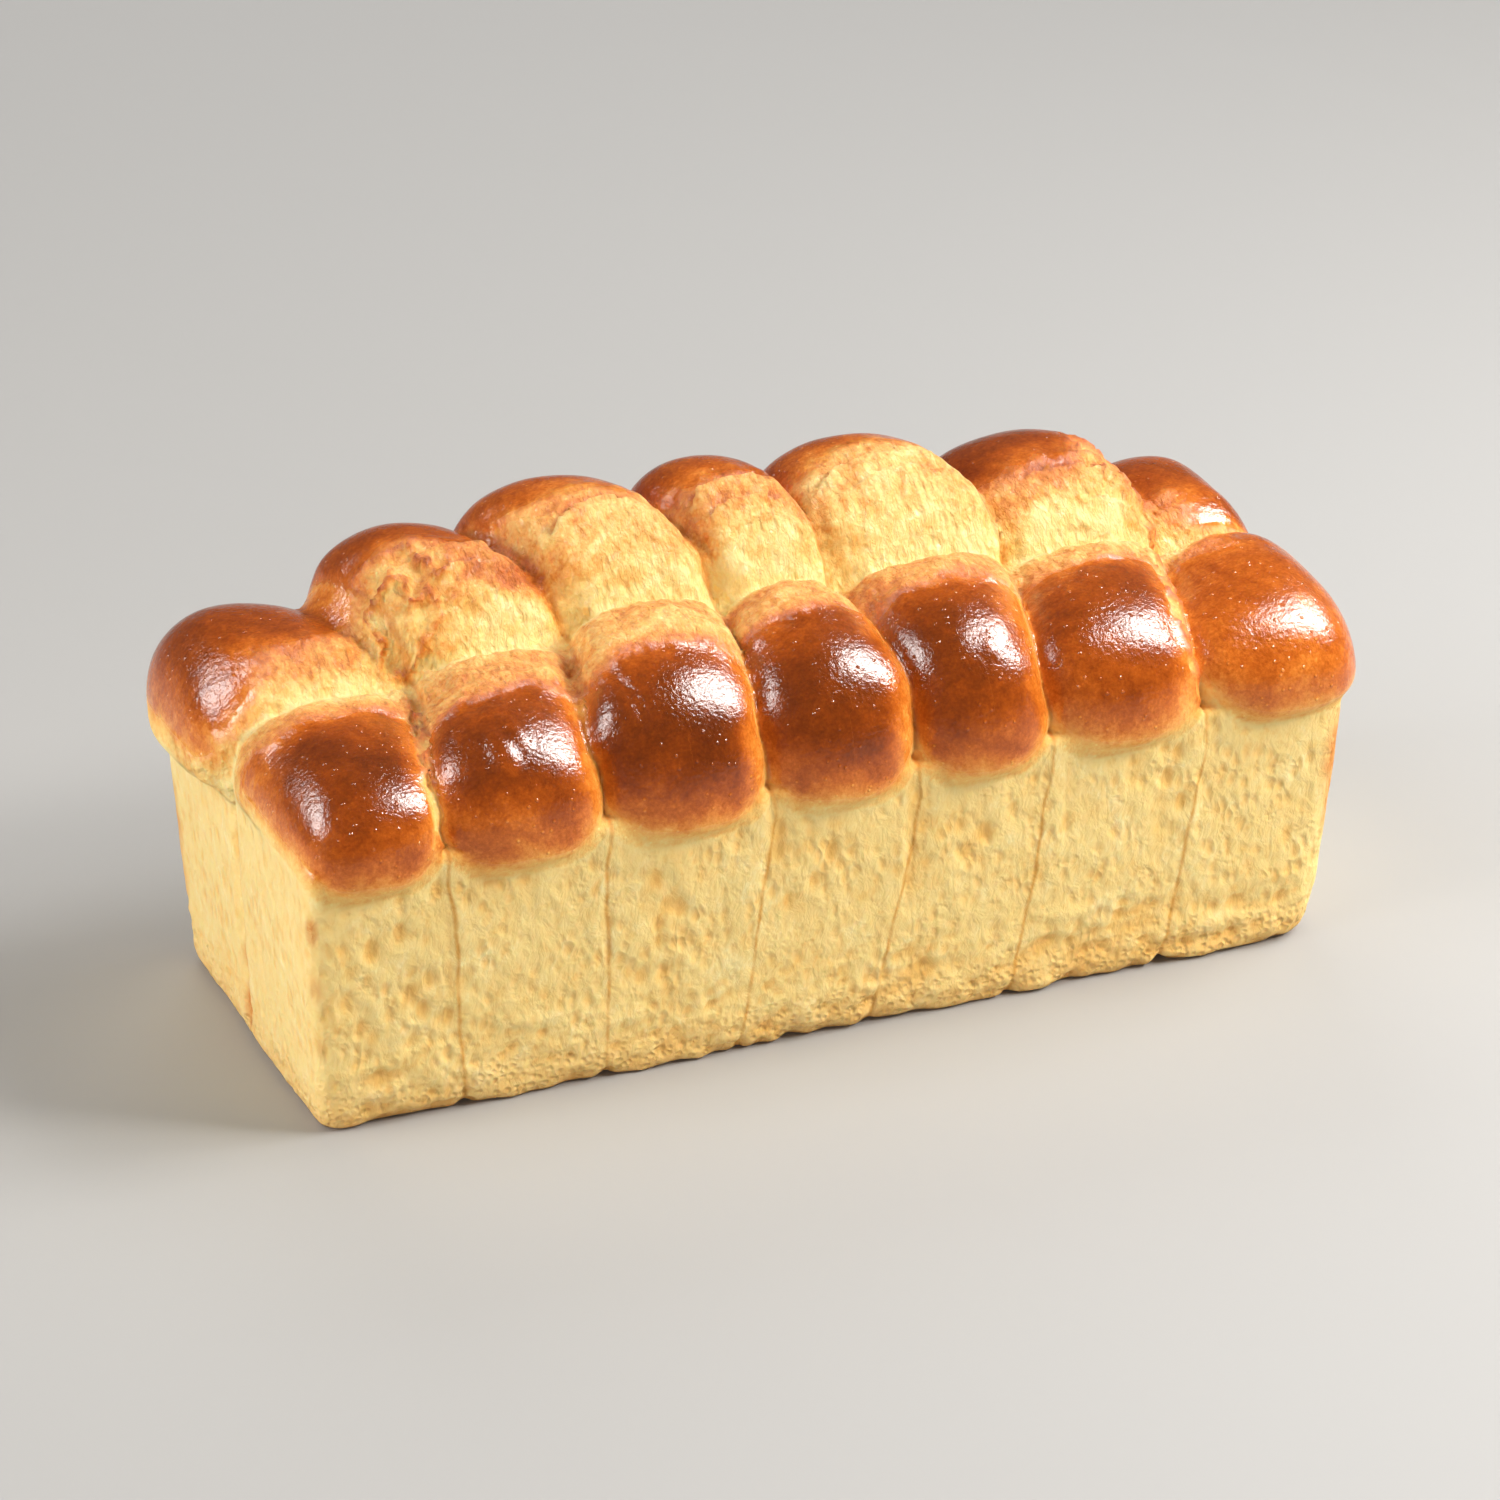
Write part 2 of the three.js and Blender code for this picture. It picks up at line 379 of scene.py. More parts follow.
def surface_nets(field, origin, step):
    """Points and quads of the field's zero level, inside being negative."""
    inside = field < 0
    count = np.zeros(tuple(n - 1 for n in field.shape), np.int8)
    corners = [np.array([k & 1, (k >> 1) & 1, k >> 2]) for k in range(8)]
    for c in corners:
        part = tuple(slice(o, n - 1 + o) for o, n in zip(c, field.shape))
        count += inside[part]
    mixed = (count > 0) & (count < 8)
    cells = np.argwhere(mixed)
    number = np.full(mixed.shape, -1)
    number[mixed] = np.arange(len(cells))
    total = np.zeros((len(cells), 3))
    hits = np.zeros(len(cells))
    for a in corners:
        for b in corners:
            if (b - a).sum() != 1 or (b - a).min() < 0:
                continue
            fa = field[tuple((cells + a).T)]
            fb = field[tuple((cells + b).T)]
            crossed = (fa < 0) != (fb < 0)
            t = fa[crossed] / (fa[crossed] - fb[crossed])
            total[crossed] += a + (b - a) * t[:, None]
            hits[crossed] += 1
    points = (cells + total / hits[:, None]) * step + origin
    quads = []
    for axis in range(3):
        u, v = [a for a in range(3) if a != axis]
        low = tuple(slice(0, -1) if a == axis else slice(None) for a in range(3))
        high = tuple(slice(1, None) if a == axis else slice(None) for a in range(3))
        edges = np.argwhere(inside[low] != inside[high])
        around = []
        for du, dv in ((-1, -1), (0, -1), (0, 0), (-1, 0)):
            cell = edges.copy()
            cell[:, u] += du
            cell[:, v] += dv
            around.append(number[tuple(cell.T)])
        quad = np.stack(around, 1)
        keep = inside[tuple(edges.T)]
        keep = keep if axis != 1 else ~keep
        quad[~keep] = quad[~keep][:, ::-1]
        quads.append(quad)
    return points, np.concatenate(quads)


def relax(points, quads, rounds, strength):
    """Moves each point part of the way to the middle of its neighbours."""
    a = np.concatenate([quads[:, 0], quads[:, 1], quads[:, 2], quads[:, 3]])
    b = np.concatenate([quads[:, 1], quads[:, 2], quads[:, 3], quads[:, 0]])
    degree = np.bincount(a, minlength=len(points)) + np.bincount(b, minlength=len(points))
    for _ in range(rounds):
        near = np.zeros_like(points)
        for axis in range(3):
            near[:, axis] += np.bincount(a, points[b, axis], len(points))
            near[:, axis] += np.bincount(b, points[a, axis], len(points))
        points = points + strength * (near / degree[:, None] - points)
    return points


def point_normals(points, quads):
    p = points[quads]
    faces = np.cross(p[:, 2] - p[:, 0], p[:, 3] - p[:, 1])
    normals = np.zeros_like(points)
    for corner in range(4):
        for axis in range(3):
            normals[:, axis] += np.bincount(quads[:, corner], faces[:, axis], len(points))
    return normals / (np.linalg.norm(normals, axis=1, keepdims=True) + 1e-12)


# ---- where a point is on the loaf --------------------------------------------------------------

class Place:
    """For each point: its row and ball, its distance to the seams, the height of the crust's edge
    there, and how the ball browned.
    """

    def __init__(self, points):
        x, y, z = points.T
        self.x, self.y, self.z = x, y, z
        self.front = y < 0
        self.s = np.abs(y)
        self.index = np.zeros(len(x), int)
        self.gap, self.gap_right, self.signed_gap, self.across = np.zeros((4, len(x)))
        self.lip, self.fade, self.fade_width, self.bare, self.baked = np.zeros((5, len(x)))
        for row in ROWS:
            own = self.front if row is FRONT else ~self.front
            px, py, pz = x[own], y[own], z[own]
            seams = np.stack([seam_x(row, k, py, pz) for k in range(1, LAST + 1)])
            index = (px > seams).sum(0)
            ends = [np.full(len(px), end) for end in row["ends"]]
            bounds = np.vstack([ends[0], seams, ends[1]])
            left = np.take_along_axis(bounds, index[None], 0)[0]
            right = np.take_along_axis(bounds, index[None] + 1, 0)[0]
            to_left = np.where(index == 0, FAR, px - left)
            to_right = np.where(index == LAST, FAR, right - px)
            across = (px - (left + right) / 2) / ((right - left) / 2)
            self.index[own] = index
            self.gap[own] = np.minimum(to_left, to_right)
            self.gap_right[own] = to_right
            self.signed_gap[own] = np.where(to_left < to_right, to_left, -to_right)
            self.across[own] = across
            last = (index == LAST) & (row is FRONT)
            left_lift = np.where(last, LIP_LIFT["last"], LIP_LIFT["left"])
            lift = np.where(across > 0, LIP_LIFT["right"], left_lift) * across ** 4
            self.lip[own] = np.array(row["lips"])[index] + lift
            self.fade[own] = np.array(row["fade"])[index]
            self.fade_width[own] = row["fade_width"]
            self.bare[own] = np.array(row["bare"])[index]
            self.baked[own] = np.array(row["baked"])[index]


def cell_distance(points, size, seed):
    """Distance to the nearest of a set of scattered centres, one in each cell of the given size."""
    p = points / np.asarray(size, float) + 50
    base = np.floor(p).astype(int)
    wrap = 32
    jitter = np.random.default_rng(seed).uniform(0.1, 0.9, (wrap, wrap, wrap, 3))
    best = np.full(len(points), 9.0)
    for dx in (-1, 0, 1):
        for dy in (-1, 0, 1):
            for dz in (-1, 0, 1):
                cell = base + np.array([dx, dy, dz])
                k = cell % wrap
                centre = cell + jitter[k[:, 0], k[:, 1], k[:, 2]]
                best = np.minimum(best, np.linalg.norm(p - centre, axis=1))
    return best


def blisters(at):
    """Round bubbles in the front crust, and a curved dent beside them on the third ball."""
    total = np.zeros(len(at.x))
    for x, z, radius, height in BLISTERS:
        away = np.hypot(at.x - x, at.z - z) / radius
        total += height * np.clip(1 - away * away, 0, 1)
    x, z, radius, width = DENT
    away = np.abs(np.hypot(at.x - x, 1.2 * (at.z - z)) - radius)
    total -= DENT_DEPTH * np.exp(-(away / width) ** 2) * smoothstep(0, 5, at.x - x)
    return np.where(at.front & (at.s > 30), total, 0)


def stains(points, wobble):
    """0 to 1 near the stained places."""
    total = np.zeros(len(points))
    for x, y, z, radius, strength in STAINS:
        offset = (points - np.array([x, y, z])) * (1, 1, 0.45)
        away = np.linalg.norm(offset, axis=1) / radius + 0.08 * wobble
        total = np.maximum(total, strength * (1 - smoothstep(0.3, 1.0, away)))
    return total


def torn(at):
    """1 where the crust tore open."""
    # round places in the back row, at its first seam and, less so, at its last
    tear = 1 - smoothstep(8, 20, np.hypot(at.x + 96, 0.8 * (at.y - 13)))
    tear = np.maximum(tear, 0.8 * (1 - smoothstep(5, 15, np.hypot(at.x - 119, 0.5 * (at.y - 22)))))
    # strips along the right edges of two front balls and the left edge of the last back ball
    side = at.front & ((at.index == 0) | (at.index == 5)) & (at.across > 0)
    strip = np.where(side, 1 - smoothstep(2, 6, at.gap), 0) * smoothstep(74, 84, at.z)
    last = ~at.front & (at.index == LAST) & (at.across < 0)
    last_strip = np.where(last, 1 - smoothstep(2, 7, at.gap), 0) * (1 - smoothstep(35, 50, at.s))
    return np.maximum(tear, np.maximum(strip, last_strip))


def torn_folds(points):
    """Ragged thin ridges, 1 along their tops, for the torn places."""
    return 1 - np.minimum(1, 3.2 * np.abs(rough_noise(points, (7, 10, 10), 19)))


def flap(at, points):
    """A skin fold across the inner face of each tall back ball, roughly parallel to its ridge."""
    back = ~at.front & (at.index > 0) & (at.index < LAST)
    start = np.array(FLAP_START)[at.index]
    bend = np.array(FLAP_BEND)[at.index]
    lift = np.zeros(len(at.x))
    for shift, size in ((0, 1.0), (-8.5, 0.5)):
        line = start + shift - bend * (at.across - 0.1) ** 2
        line = line + 2.2 * noise(points, 13, 41) + noise(points, 5, 44)
        below = line - at.s
        lift += size * np.where(below > 0, np.exp(-below / 6), -0.8 * np.exp(below / 1.6))
    near_seam = smoothstep(0.55, 0.85, np.abs(at.across))
    strength = smoothstep(-0.5, 0.3, noise(points, 22, 42)) * (1 - near_seam)
    return np.where(back, lift * strength, 0)


def facing_end(normals):
    """1 on the two ends of the loaf."""
    return smoothstep(0.6, 0.9, np.abs(normals[:, 0]))


def shape_details(points, normals):
    """How far each point moves along its normal, and the fine part of that on its own."""
    at = Place(points)
    crown = smoothstep(-1, 5, at.z - at.lip)
    wall = (1 - crown) * smoothstep(0.3, 3, at.z)
    low = 1 - smoothstep(12, 32, at.z + 4 * noise(points, 25, 20))
    inner = crown * (1 - smoothstep(4, 18, at.s - at.fade))
    inner = inner * (1 - 0.8 * smoothstep(134, 150, np.abs(at.x)))
    # slow waves of the whole skin
    broad = crown * CROWN_WAVES * noise(points, 34, 11) + wall * WALL_WAVES * noise(points, 30, 13)
    broad += crown * (1 - 0.6 * inner) * CRUST_RIPPLES * noise(points, 11, 12)
    # drawn-out dents high on the walls, crowded pits and level wrinkles near the foot
    patchy = smoothstep(-0.25, 0.45, noise(points, 22, 21))
    dents = 1 - smoothstep(0.10, 0.55, cell_distance(points, (5.6, 5.6, 9.5), 22))
    fine = -wall * (1 - low) * patchy * WALL_DENTS * dents
    pits = 1 - smoothstep(0.08, 0.56, cell_distance(points, (5.0, 5.0, 4.6), 23))
    fine -= wall * low * FOOT_PITS * pits
    fine += wall * low * FOOT_WRINKLES * rough_noise(points, (14, 14, 4.4), 15)
    fine += wall * (0.35 + 0.3 * patchy) * rough_noise(points, (5.5, 5.5, 12), 16)
    # the corners of the loaf are smoother
    fine *= 1 - 0.6 * (1 - crown) * smoothstep(136, 147, np.abs(at.x))
    # upright stretch marks beside the seams
    creases = np.exp(-(at.gap / 7) ** 2) * smoothstep(15, 45, at.z)
    fine += wall * SEAM_CREASES * creases * noise(points, (3.2, 3.2, 34), 24)
    # stretched dough beside the valley, and torn crust
    fine += inner * STRANDS * rough_noise(points, (4.4, 13, 13), 17)
    fine += inner * VALLEY_LUMPS * rough_noise(points, (8, 7, 7), 18)
    fine += crown * torn(at) * (TORN_RIDGES * torn_folds(points) - TORN_DEPTH)
    broad += blisters(at)
    folds = flap(at, points)
    # a shallow fold down the middle of each end, where the two rows meet
    groove = facing_end(normals) * (1 - crown) * smoothstep(2, 8, at.z)
    groove = groove * END_GROOVE * np.exp(-(at.y / END_GROOVE_WIDTH) ** 2)
    return broad + fine + SKIN_FOLD * folds - groove, fine + 1.2 * folds


def paint(points, normals):
    """Point attributes that the material reads."""
    at = Place(points)
    wobble = 2.2 * noise(points, 12, 31) + 1.2 * noise(points, 5, 32)
    rise = at.z - at.lip
    crown = smoothstep(-0.6, 1.2, rise + 0.1 * wobble)
    from_lip = 0.38 * smoothstep(2.5, 13, rise + 0.6 * wobble)
    from_lip = from_lip + 0.62 * smoothstep(7, 36, rise + 2 * wobble)
    from_seam = smoothstep(-1.5, 2, at.gap + 0.5 * wobble)
    # painted light: the baked patch is held back near each ball's right seam, the side that faces
    # the lamps, so the crust reads paler there
    lit_right_edge = smoothstep(0.5, 13, at.gap_right + 0.8 * wobble)
    valley_width = np.where(at.front, 9, 13)
    valley = smoothstep(0.0, 1, (at.s + 1.5 * wobble) / valley_width)
    # the ends of the loaf brown like its sides, but the front row's left end stayed pale,
    # except on its outer side
    at_end = np.where(at.front & (at.x < 0), 0, smoothstep(128, 156, np.abs(at.x)))
    reach = (at.s - at.fade + np.where(at.front, 1.5, 2.2) * wobble) / at.fade_width
    outer = smoothstep(0, 1, reach)
    outer = np.where(at.front, 0.5 * smoothstep(0, 0.35, reach) + 0.5 * outer, outer)
    outer = np.maximum(outer, at_end)
    pale_end = smoothstep(-163, -154, at.x - 0.20 * (at.z - 90) + wobble)
    pale_end = np.maximum(pale_end, smoothstep(34, 46, at.s + 0.5 * (at.z - 95) + wobble))
    pale_end = np.where(at.front, pale_end, 1)
    # the baked patch on the outside of each ball, and the golden tone that leads up to it
    # the patch is paler near each ball's right seam, as painted light
    patch = from_lip * (0.45 + 0.55 * from_seam) * (0.25 + 0.75 * lit_right_edge) * outer * pale_end
    ease = (at.bare - PALEST) * valley * (0.3 + 0.7 * pale_end) * (0.7 + 0.3 * from_seam)
    # paler near the crust's lower edge: partly the crust's own paler edge, partly painted light
    # standing in for light bounced up under the lip
    ease *= 0.45 + 0.55 * smoothstep(2, 10, rise)
    brown = PALEST + ease + (at.baked - at.bare) * patch
    # painted shadow under the edge of each skin fold
    brown += FOLD_SHADOW * np.maximum(-flap(at, points), 0)
    brown -= BLISTER_PALING * np.clip(blisters(at), 0, 1)
    tear = torn(at)
    torn_tone = TORN_TONES[0] + TORN_TONES[1] * torn_folds(points)
    brown = brown * (1 - 0.75 * tear) + tear * torn_tone
    # on the ends the seam is the line where the two rows meet
    seam = np.where((facing_end(normals) > 0.5) & (at.z < RIM), 0.6 * at.y, at.signed_gap)
    return dict(
        brown=np.clip(brown * crown, 0, 1),
        crust=np.clip(crown * np.minimum(1, 1.5 * outer) * pale_end * (1 - tear), 0, 1),
        wall=1 - crown,
        seam=np.clip(seam, -SEAM_LIMIT, SEAM_LIMIT),
        stain=stains(points, wobble),
        foot=1 - smoothstep(1, 18, at.z + wobble),
        under=smoothstep(-0.6, -0.9, normals[:, 2]),
        strands=1 - smoothstep(4, 24, at.s - at.fade),
    )


# ---- the skin mesh -----------------------------------------------------------------------------

def build_loaf():
    xs = np.arange(GRID_X[0] - GRID_MARGIN, GRID_X[1] + GRID_MARGIN, CELL)
    ys = np.arange(GRID_Y[0] - GRID_MARGIN, GRID_Y[1] + GRID_MARGIN, CELL)
    zs = np.arange(GRID_BOTTOM, GRID_TOP + GRID_MARGIN, CELL)
    field = sample_field(xs, ys, zs)
    fill_voids(field)
    close_pinches(field)
    points, quads = surface_nets(field, np.array([xs[0], ys[0], zs[0]]), CELL)
    points = relax(points, quads, 2, 0.5)
    normals = point_normals(points, quads)
    attributes = paint(points, normals)
    move, relief = shape_details(points, normals)
    # the relief also goes to the material, which paints shade into its dents
    attributes["relief"] = np.clip(relief, -RELIEF_LIMIT, RELIEF_LIMIT)
    points = points + normals * move[:, None]
    points[:, 2] = np.maximum(points[:, 2], 0)
    points[:, 0] += SHIFT_X

    mesh = bpy.data.meshes.new("loaf_crust")
    mesh.vertices.add(len(points))
    mesh.vertices.foreach_set("co", (points * MM).ravel())
    mesh.loops.add(quads.size)
    mesh.loops.foreach_set("vertex_index", quads.ravel())
    mesh.polygons.add(len(quads))
    mesh.polygons.foreach_set("loop_start", np.arange(0, quads.size, 4))
    mesh.update(calc_edges=True)
    mesh.validate()
    mesh.polygons.foreach_set("use_smooth", np.ones(len(quads), bool))
    for name, values in attributes.items():
        layer = mesh.attributes.new(name, "FLOAT", "POINT")
        layer.data.foreach_set("value", values.astype(np.float32))
    piece = bpy.data.objects.new("loaf_crust", mesh)
    bpy.context.scene.collection.objects.link(piece)
    return piece


# ---- material ----------------------------------------------------------------------------------

def srgb(red, green, blue):
    """A display colour, 0 to 255, as linear light."""
    def channel(value):
        value /= 255
        return value / 12.92 if value <= 0.04045 else ((value + 0.055) / 1.055) ** 2.4
    return channel(red), channel(green), channel(blue), 1.0


# The crown's colours run from bare dough to the darkest crust, and the sides' from their darker
# patches, with painted shade in the dents, up to their palest.
CROWN_TONES = [
    (0.00, (252, 232, 164)),
    (0.14, (250, 212, 128)),
    (0.32, (240, 166, 74)),
    (0.48, (212, 112, 32)),
    (0.64, (160, 72, 12)),
    (0.82, (120, 51, 8)),
    (1.00, (88, 35, 5)),
]
WALL_TONES = [
    (0.24, (238, 193, 110)),
    (0.50, (244, 216, 143)),
    (0.72, (249, 231, 170)),
]
CROWN_SEAM_PALE = srgb(232, 150, 58)
CROWN_SEAM_DARK = srgb(178, 92, 26)
WALL_SEAM = srgb(214, 156, 72)
# painted shade in the pits and dents of the sides
HOLLOW_SHADE = srgb(242, 184, 92)
FOOT_TAN = srgb(232, 178, 98)
STAIN = srgb(210, 126, 46)
UNDERSIDE = srgb(204, 138, 62)


# A Mix node's sockets for colours come after those for numbers and vectors.
MIX_COLOUR_A, MIX_COLOUR_B, MIX_COLOUR_OUT = 6, 7, 2


class Nodes:
    """Short names for the shader nodes that the crust is made of."""

    def __init__(self, tree):
        self.tree = tree
        self.place = self.add("ShaderNodeTexCoord").outputs["Object"]

    def add(self, kind, **settings):
        node = self.tree.nodes.new(kind)
        for name, value in settings.items():
            setattr(node, name, value)
        return node

    def join(self, value, socket):
        if isinstance(value, (int, float, tuple)):
            socket.default_value = value
        else:
            self.tree.links.new(value, socket)

    def attribute(self, name):
        return self.add("ShaderNodeAttribute", attribute_name=name).outputs["Fac"]

    def math(self, operation, a, b=0.0, clamp=False):
        node = self.add("ShaderNodeMath", operation=operation, use_clamp=clamp)
        self.join(a, node.inputs[0])
        self.join(b, node.inputs[1])
        return node.outputs[0]

    def plus(self, a, b, clamp=False):
        return self.math("ADD", a, b, clamp)

    def minus(self, a, b):
        return self.math("SUBTRACT", a, b)

    def times(self, a, b, clamp=False):
        return self.math("MULTIPLY", a, b, clamp)

    def swing(self, value, amount):
        """A noise of 0 to 1, moved to lie about 0 and scaled."""
        return self.times(self.minus(value, 0.5), amount)

    def between(self, value, low, high, out_low=0.0, out_high=1.0):
        """A smooth step from out_low to out_high as the value goes from low to high."""
        node = self.add("ShaderNodeMapRange", interpolation_type="SMOOTHSTEP")
        self.join(value, node.inputs["Value"])
        node.inputs["From Min"].default_value = low
        node.inputs["From Max"].default_value = high
        node.inputs["To Min"].default_value = out_low
        node.inputs["To Max"].default_value = out_high
        return node.outputs["Result"]

    def stretched(self, scale):
        """Object coordinates; a scale above 1 squeezes a pattern along that axis."""
        node = self.add("ShaderNodeMapping", vector_type="POINT")
        self.join(self.place, node.inputs["Vector"])
        node.inputs["Scale"].default_value = scale
        return node.outputs["Vector"]

    def noise(self, size_mm, detail=3.0, rough=0.5, bend=0.0, scale=(1, 1, 1)):
        """Noise with blobs of the given size."""
        node = self.add("ShaderNodeTexNoise")
        self.join(self.stretched(scale), node.inputs["Vector"])
        node.inputs["Scale"].default_value = 1 / (size_mm * MM)
        node.inputs["Detail"].default_value = detail
        node.inputs["Roughness"].default_value = rough
        node.inputs["Distortion"].default_value = bend
        return node.outputs["Fac"]

    def warped(self, scale, size_mm, amount_mm):
        """Object coordinates pushed about by a noise, then stretched."""
        push = self.add("ShaderNodeTexNoise")
        self.join(self.place, push.inputs["Vector"])
        push.inputs["Scale"].default_value = 1 / (size_mm * MM)
        push.inputs["Detail"].default_value = 2.0
        move = self.add("ShaderNodeVectorMath", operation="MULTIPLY_ADD")
        self.join(push.outputs["Color"], move.inputs[0])
        move.inputs[1].default_value = (2 * amount_mm * MM,) * 3
        self.join(self.place, move.inputs[2])
        node = self.add("ShaderNodeMapping", vector_type="POINT")
        self.join(move.outputs["Vector"], node.inputs["Vector"])
        node.inputs["Scale"].default_value = scale
        return node.outputs["Vector"]

    def cells(self, size_mm, scale=(1, 1, 1), bend_mm=0.0):
        """Distance to the nearest of a scatter of points, 0 at each point."""
        node = self.add("ShaderNodeTexVoronoi", feature="F1")
        place = self.warped(scale, 2 * size_mm, bend_mm) if bend_mm else self.stretched(scale)
        self.join(place, node.inputs["Vector"])
        node.inputs["Scale"].default_value = 1 / (size_mm * MM)
        return node.outputs["Distance"]

    def mix(self, factor, a, b):
        """From colour a to colour b as the factor goes from 0 to 1."""
        node = self.add("ShaderNodeMix", data_type="RGBA", clamp_factor=True)
        self.join(factor, node.inputs[0])
        self.join(a, node.inputs[MIX_COLOUR_A])
        self.join(b, node.inputs[MIX_COLOUR_B])
        return node.outputs[MIX_COLOUR_OUT]

    def ramp(self, factor, stops):
        """A colour ramp; each stop is a position and a display colour."""
        node = self.add("ShaderNodeValToRGB")
        ramp = node.color_ramp
        ramp.interpolation = "B_SPLINE" if len(stops) > 3 else "EASE"
        while len(ramp.elements) < len(stops):
            ramp.elements.new(0.5)
        for element, (position, colour) in zip(ramp.elements, stops):
            element.position = position
            element.color = srgb(*colour)
        self.join(factor, node.inputs["Fac"])
        return node.outputs["Color"]

    def bump(self, height, strength, depth_mm):
        node = self.add("ShaderNodeBump")
        self.join(height, node.inputs["Height"])
        node.inputs["Strength"].default_value = strength
        node.inputs["Distance"].default_value = depth_mm * MM
        return node.outputs["Normal"]


def crust_material():
    material = bpy.data.materials.new("brioche_crust")
    material.use_nodes = True
    tree = material.node_tree
    shader = tree.nodes["Principled BSDF"]
    n = Nodes(tree)

    brown = n.attribute("brown")
    wall = n.attribute("wall")
    crust = n.attribute("crust")
    seam = n.math("ABSOLUTE", n.attribute("seam"))
    foot = n.attribute("foot")
    under = n.attribute("under")
    stain = n.attribute("stain")
    relief = n.attribute("relief")
    strands = n.attribute("strands")

    # browning, broken up by blotches, mottling, specks and pale freckles
    broad = n.noise(17, 4, 0.6, 0.5)
    mottle = n.noise(3.6, 5, 0.66, 0.6)
    speck = n.noise(0.9, 2, 0.6)
    freckles = n.between(n.cells(3.4), 0.06, 0.17, 0.11, 0.0)
    drift = n.swing(broad, 0.36)
    drift = n.plus(drift, n.swing(mottle, 0.32))
    drift = n.plus(drift, n.swing(speck, 0.22))
    drift = n.minus(drift, freckles)
    # fibres and clouds mark the dough that stayed dull, most of all beside the valley
    fibre = n.noise(2.2, 5, 0.65, 0.6, scale=(1.4, 0.6, 0.6))
    cloud = n.noise(6.5, 3, 0.6, 0.8)
    dull = n.between(brown, 0.25, 0.6, 1.0, 0.15)
    dull = n.times(dull, n.between(strands, 0.0, 0.7, 0.25, 1.0))
    drift = n.plus(drift, n.swing(fibre, n.times(dull, 0.34)))
    drift = n.plus(drift, n.swing(cloud, n.times(dull, 0.45)))
    # painted shade: the dull dough is browner in the dents of the relief
    drift = n.minus(drift, n.times(relief, n.times(dull, 0.08)))
    tone = n.plus(brown, n.times(drift, n.between(brown, 0.0, 0.3, 0.5, 1.0)))
    crown_colour = n.ramp(tone, CROWN_TONES)
    crown_line = n.between(n.plus(seam, n.times(mottle, 0.8)), 0.5, 1.6, 0.6, 0.0)
    line_colour = n.mix(n.between(brown, 0.1, 0.45), CROWN_SEAM_PALE, CROWN_SEAM_DARK)
    crown_colour = n.mix(crown_line, crown_colour, line_colour)

    # the pale tin sides
    patches = n.noise(11, 4, 0.6)
    fine = n.noise(2.4, 4, 0.65, 0.5, scale=(1, 1, 0.6))
    foam = n.between(n.cells(3.4, (1, 1, 0.55), 1.8), 0.05, 0.65)
    foam_share = n.between(n.noise(16, 2, 0.5), 0.40, 0.60, 0.3, 1.3)
    pores = n.between(n.cells(2.3, (1, 1, 1.1), 1.0), 0.05, 0.60)
    pore_share = n.plus(n.between(n.noise(9, 2, 0.5), 0.50, 0.64, 0.0, 0.3), foot, clamp=True)
    foam_pits = n.times(n.minus(1.0, foam), foam_share)
    pore_pits = n.times(n.minus(1.0, pores), pore_share)
    tone_and_dent_shade = n.plus(n.times(patches, 0.5), n.times(fine, 0.5))
    # painted shade: the sides are a little darker in the dents of the relief
    tone_and_dent_shade = n.plus(tone_and_dent_shade, n.times(relief, 0.05))
    wall_colour = n.ramp(tone_and_dent_shade, WALL_TONES)
    # painted shade: the pits of the foam and the pores, and the dents of the relief, are coloured a
    # warmer, darker orange
    hollow_shade = n.times(n.math("MAXIMUM", foam_pits, pore_pits), 0.45, clamp=True)
    hollow_shade = n.math("MAXIMUM", hollow_shade, n.between(relief, -1.1, 0.1, 0.6, 0.0))
    wall_colour = n.mix(hollow_shade, wall_colour, HOLLOW_SHADE)
    tan = n.times(foot, n.between(n.noise(6, 4, 0.65), 0.3, 0.7, 0.3, 1.0))
    wall_colour = n.mix(n.times(tan, 0.70), wall_colour, FOOT_TAN)
    line = n.between(n.plus(seam, n.times(fine, 0.8)), 0.4, 1.4, 1.0, 0.0)
    line = n.times(line, n.between(n.noise(9, 3, 0.6), 0.3, 0.6, 0.35, 0.9))
    wall_colour = n.mix(line, wall_colour, WALL_SEAM)
    stain = n.times(stain, n.between(fine, 0.30, 0.55, 0.5, 0.95))
    wall_colour = n.mix(stain, wall_colour, STAIN)
    wall_colour = n.mix(n.times(under, 0.8), wall_colour, UNDERSIDE)

    colour = n.mix(wall, crown_colour, wall_colour)
    n.join(colour, shader.inputs["Base Color"])

    # egg-washed crust shines, the rest is dry
    gloss = n.times(crust, n.between(brown, 0.22, 0.44))
    glint = n.times(strands, n.between(n.noise(3.2, 3, 0.6), 0.48, 0.62, 0.0, 0.6))
    sheen = n.math("MAXIMUM", gloss, n.times(glint, n.minus(1.0, wall)))
    scuff = n.times(n.noise(2.2, 3, 0.6), 0.16)
    roughness = n.plus(n.between(sheen, 0.0, 1.0, 0.75, 0.15), n.minus(scuff, 0.08))
    n.join(roughness, shader.inputs["Roughness"])
    shader.inputs["IOR"].default_value = 1.5
    shader.inputs["Specular IOR Level"].default_value = 0.5
    shader.inputs["Subsurface Weight"].default_value = 0.25
    shader.inputs["Subsurface Radius"].default_value = (1.0, 0.45, 0.18)
    shader.inputs["Subsurface Scale"].default_value = 0.001

